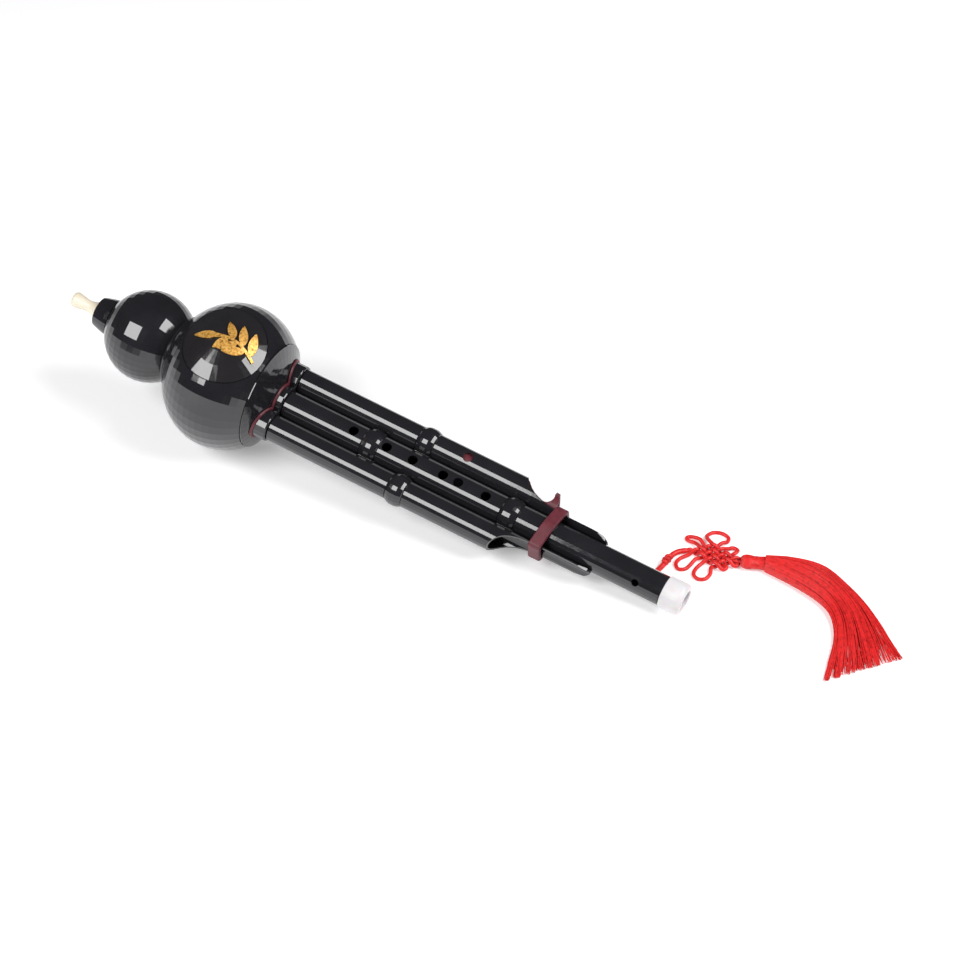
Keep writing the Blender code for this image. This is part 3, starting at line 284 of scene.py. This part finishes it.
def on_head(t, turn, size):
    """A point round the head's axis at t of its length."""
    spot = HEAD_FROM + (HEAD_TO - HEAD_FROM) * t + head_side * HEAD_HALF_WIDTH * size * cos(turn)
    return spot + Vector((0, 0, HEAD_MIDDLE + HEAD_HALF_HEIGHT * size * sin(turn)))


def head_thread(turn):
    line = []
    for j in range(HEAD_POINTS):
        t = HEAD_START + HEAD_REACH * j / (HEAD_POINTS - 1)
        size = swell(max(t, 0.0)) - HEAD_ROUGHNESS * random.random()
        line.append(on_head(t, turn + HEAD_TWIST * t, size))
    return line


head_threads = [head_thread(2 * pi * k / HEAD_THREADS) for k in range(HEAD_THREADS)]
tassel_head = strand_object("tassel_head_threads", head_threads, HEAD_STRAND, 1)
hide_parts("tassel_head")
neck_line = [on_head(NECK_FROM + NECK_REACH * k / NECK_POINTS, 2 * pi * NECK_TURNS * k / NECK_POINTS, NECK_SIZE)
             for k in range(NECK_POINTS + 1)]
neck_wrap = strand_object("tassel_neck_wraps", [neck_line], NECK_STRAND, 2)

inner_line, _ = resample(catmull([Vector((x, y, 0)) * MM for x, y in INNER_EDGE], EDGE_STEPS), EDGE_POINTS)
outer_line, _ = resample(catmull([Vector((x, y, 0)) * MM for x, y in OUTER_EDGE], EDGE_STEPS), EDGE_POINTS)


def skirt_thread():
    """One thread in its own lane between the edges: (points, sizes)."""
    lane = random.uniform(-1, 1)
    lane = lane * abs(lane) ** EDGE_CROWDING
    level = random.random()
    reach = 1.0 - TIP_SPREAD * random.random() ** TIP_POWER
    sway = random.uniform(0.0, FULL_TURN)
    amount = random.uniform(0.0, SWAY_MOST) * MM
    lock = BROAD_LOCK * sin(BROAD_RATE * lane + BROAD_START) + FINE_LOCK * sin(FINE_RATE * lane)
    line = []
    for k in range(SKIRT_POINTS):
        t = reach * k / (SKIRT_POINTS - 1)
        place = t * (EDGE_POINTS - 1)
        j = min(int(place), EDGE_POINTS - 2)
        a = inner_line[j].lerp(inner_line[j + 1], place - j)
        b = outer_line[j].lerp(outer_line[j + 1], place - j)
        s = (lane + lock * t) * EDGE_SHARE
        middle, half = (a + b) / 2, (b - a) / 2
        thick = (ROOT_HEIGHT * (1 - t) ** ROOT_POWER + TIP_HEIGHT) * MM
        arch = max(0.0, 1 - min(1.0, abs(s)) ** 2) ** 0.5
        height = REST_HEIGHT + thick * (LEVEL_LEAST + (1 - LEVEL_LEAST) * level) * (
            ARCH_LEAST + (1 - ARCH_LEAST) * arch)
        wave = Vector((sin(SWAY_RATE_X * t * SWAY_CYCLES + sway), cos(SWAY_RATE_Y * t * SWAY_CYCLES + sway), 0))
        spot = middle + half * s + wave * amount * t
        line.append(Vector((spot.x, spot.y, height)))
    return line, [1.0 - TIP_TAPER * (k / (SKIRT_POINTS - 1)) for k in range(SKIRT_POINTS)]


skirt = strand_object("tassel_skirt_threads", [skirt_thread() for _ in range(SKIRT_THREADS)], SKIRT_STRAND, 1)
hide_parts("tassel_skirt")

silk_pieces = (cord, stopper, knot, tassel_head, neck_wrap, skirt)
for piece in silk_pieces:
    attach(piece, "flute_body")


class Paint:
    """A material built node by node."""

    def __init__(self, name):
        self.surface = bpy.data.materials.new(name)
        self.surface.use_nodes = True
        self.tree = self.surface.node_tree
        self.shader = self.tree.nodes["Principled BSDF"]
        self.place = self.add("ShaderNodeTexCoord").outputs["Object"]

    def fill(self, node, inputs):
        for key, value in inputs.items():
            socket = node.inputs[key.replace("_", " ")]
            if isinstance(value, bpy.types.NodeSocket):
                self.tree.links.new(value, socket)
            else:
                socket.default_value = value

    def add(self, kind, **inputs):
        node = self.tree.nodes.new(kind)
        self.fill(node, inputs)
        return node

    def set(self, **inputs):
        self.fill(self.shader, inputs)

    def noise(self, scale, detail=3.0, roughness=0.5):
        return self.add("ShaderNodeTexNoise", Vector=self.place, Scale=scale, Detail=detail,
                        Roughness=roughness).outputs["Fac"]

    def ramp(self, value, *stops):
        node = self.add("ShaderNodeValToRGB", Fac=value)
        spots = node.color_ramp.elements
        while len(spots) < len(stops):
            spots.new(0.5)
        for spot, (where, colour) in zip(spots, stops):
            spot.position = where
            spot.color = (*colour, 1.0)
        return node.outputs["Color"]

    def spread(self, value, low, high, to_low, to_high):
        return self.add("ShaderNodeMapRange", Value=value, From_Min=low, From_Max=high, To_Min=to_low,
                        To_Max=to_high).outputs["Result"]

    def bump(self, height, distance, strength=1.0):
        node = self.add("ShaderNodeBump", Height=height, Distance=distance, Strength=strength)
        self.tree.links.new(node.outputs["Normal"], self.shader.inputs["Normal"])


def brighter(colour, share):
    return tuple(min(1.0, c * share) for c in colour)


def gloss_black(name, tint, rough):
    paint = Paint(name)
    colour = paint.ramp(paint.noise(60.0), (0.3, tint), (0.7, brighter(tint, 1.35)))
    roughness = paint.spread(paint.noise(140.0, 5.0, 0.65), 0.35, 0.7, rough, rough + 0.06)
    paint.set(Base_Color=colour, Roughness=roughness, IOR=1.55, Coat_Weight=0.25, Coat_Roughness=0.05)
    paint.bump(paint.noise(220.0, 2.0), 0.02 * MM, 0.5)
    return paint.surface


def matt_rubber(name, dark, light):
    paint = Paint(name)
    paint.set(Base_Color=paint.ramp(paint.noise(300.0, 4.0), (0.3, dark), (0.7, light)),
              Roughness=0.48, IOR=1.5)
    paint.bump(paint.noise(1600.0, 3.0), 0.06 * MM, 0.6)
    return paint.surface


def silk(name, deep, bright):
    paint = Paint(name)
    colour = paint.ramp(paint.noise(420.0, 3.0, 0.6), (0.25, deep), (0.5, bright), (0.8, brighter(bright, 1.15)))
    paint.set(Base_Color=colour, Roughness=0.42, IOR=1.45, Sheen_Weight=0.35, Sheen_Roughness=0.35,
              Sheen_Tint=(1.0, 0.45, 0.4, 1.0))
    paint.bump(paint.noise(2600.0, 2.0), 0.08 * MM, 0.7)
    return paint.surface


def moulded(name, dark, light, grain, rough, depth, fine_grain, relief):
    """A pale plastic that lets a little light in."""
    paint = Paint(name)
    paint.set(Base_Color=paint.ramp(paint.noise(grain, 4.0), (0.3, dark), (0.7, light)), Roughness=rough,
              IOR=1.5, Subsurface_Weight=depth[0], Subsurface_Scale=depth[1])
    paint.bump(paint.noise(fine_grain), 0.03 * MM, relief)
    return paint.surface


def gilt_paint(name):
    paint = Paint(name)
    speckle = paint.noise(900.0, 5.0, 0.7)
    colour = paint.ramp(speckle, (0.36, (0.13, 0.05, 0.01)), (0.46, (0.62, 0.30, 0.05)), (0.62, (0.88, 0.52, 0.14)))
    paint.set(Base_Color=colour, Roughness=0.4, Metallic=0.45)
    paint.bump(speckle, 0.1 * MM, 0.8)
    return paint.surface


def brass_sheet(name):
    paint = Paint(name)
    colour = paint.ramp(paint.noise(300.0), (0.3, (0.62, 0.42, 0.16)), (0.7, (0.75, 0.53, 0.24)))
    paint.set(Base_Color=colour, Metallic=1.0, Roughness=0.28)
    return paint.surface


def plug_resin(name):
    paint = Paint(name)
    colour = paint.ramp(paint.noise(200.0), (0.3, (0.12, 0.07, 0.04)), (0.7, (0.2, 0.13, 0.08)))
    paint.set(Base_Color=colour, Roughness=0.6)
    return paint.surface


black = gloss_black("gloss_black", (0.011, 0.011, 0.013), 0.07)
disc_black = gloss_black("disc_black", (0.013, 0.012, 0.013), 0.10)
maroon = matt_rubber("maroon_rubber_grain", (0.085, 0.010, 0.018), (0.125, 0.017, 0.027))
cement = matt_rubber("maroon_cement_grain", (0.075, 0.009, 0.016), (0.12, 0.016, 0.025))
red = silk("red_silk_thread", (0.42, 0.006, 0.008), (0.66, 0.016, 0.016))
cream = moulded("cream_moulded", (0.70, 0.62, 0.47), (0.80, 0.73, 0.60), 90.0, 0.3, (0.15, 0.002), 500.0, 0.4)
white = moulded("white_moulded", (0.62, 0.60, 0.61), (0.70, 0.685, 0.69), 120.0, 0.34, (0.25, 0.003), 900.0, 0.5)
gilt = gilt_paint("gilt_speckled")
brass = brass_sheet("brass_sheet")
resin = plug_resin("plug_resin_grain")

FINISH = {
    "mouthpiece": cream, "end_cap": white, "medallion_disc": disc_black, "medallion_ornament": gilt,
    "seat_cement": cement, "drone_sleeve": maroon, "binding_band": maroon,
    "main_reed": brass, "drone_left_reed": brass, "drone_right_reed": brass,
    "main_head_plug": resin, "drone_left_head_plug": resin, "drone_right_head_plug": resin,
}
for name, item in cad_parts.items():
    item.data.materials.clear()
    item.data.materials.append(FINISH.get(name, black))
for piece in silk_pieces:
    piece.data.materials.append(red)


def make_floor():
    mesh = bpy.data.meshes.new("floor")
    corners = [(-1, -1), (1, -1), (1, 1), (-1, 1)]
    mesh.from_pydata([(x * FLOOR_HALF, y * FLOOR_HALF, 0) for x, y in corners], [], [(0, 1, 2, 3)])
    floor = add_to_scene("floor", mesh)
    paint = Paint("white_table")
    paint.set(Base_Color=FLOOR_COLOUR, Roughness=0.9, IOR=1.2, Emission_Color=(1.0, 1.0, 1.0, 1.0),
              Emission_Strength=FLOOR_GLOW)
    mesh.materials.append(paint.surface)


def softbox(name, direction):
    light = bpy.data.lights.new(name, "AREA")
    light.shape = "DISK"
    light.size = LIGHT_SIZE
    light.energy = LIGHT_RADIANCE * pi * pi * (LIGHT_SIZE / 2) ** 2
    item = add_to_scene(name, light)
    toward = Vector(direction).normalized()
    item.location = LIGHT_CENTRE + toward * LIGHT_DISTANCE
    item.rotation_mode = "QUATERNION"
    item.rotation_quaternion = toward.to_track_quat("Z", "Y")


make_floor()
softbox("left_softbox", LEFT_SOFTBOX)
softbox("right_softbox", RIGHT_SOFTBOX)
world = bpy.data.worlds.new("room")
world.use_nodes = True
world.node_tree.nodes["Background"].inputs["Color"].default_value = ROOM_COLOUR
bpy.context.scene.world = world
bpy.context.scene.view_settings.view_transform = "Standard"
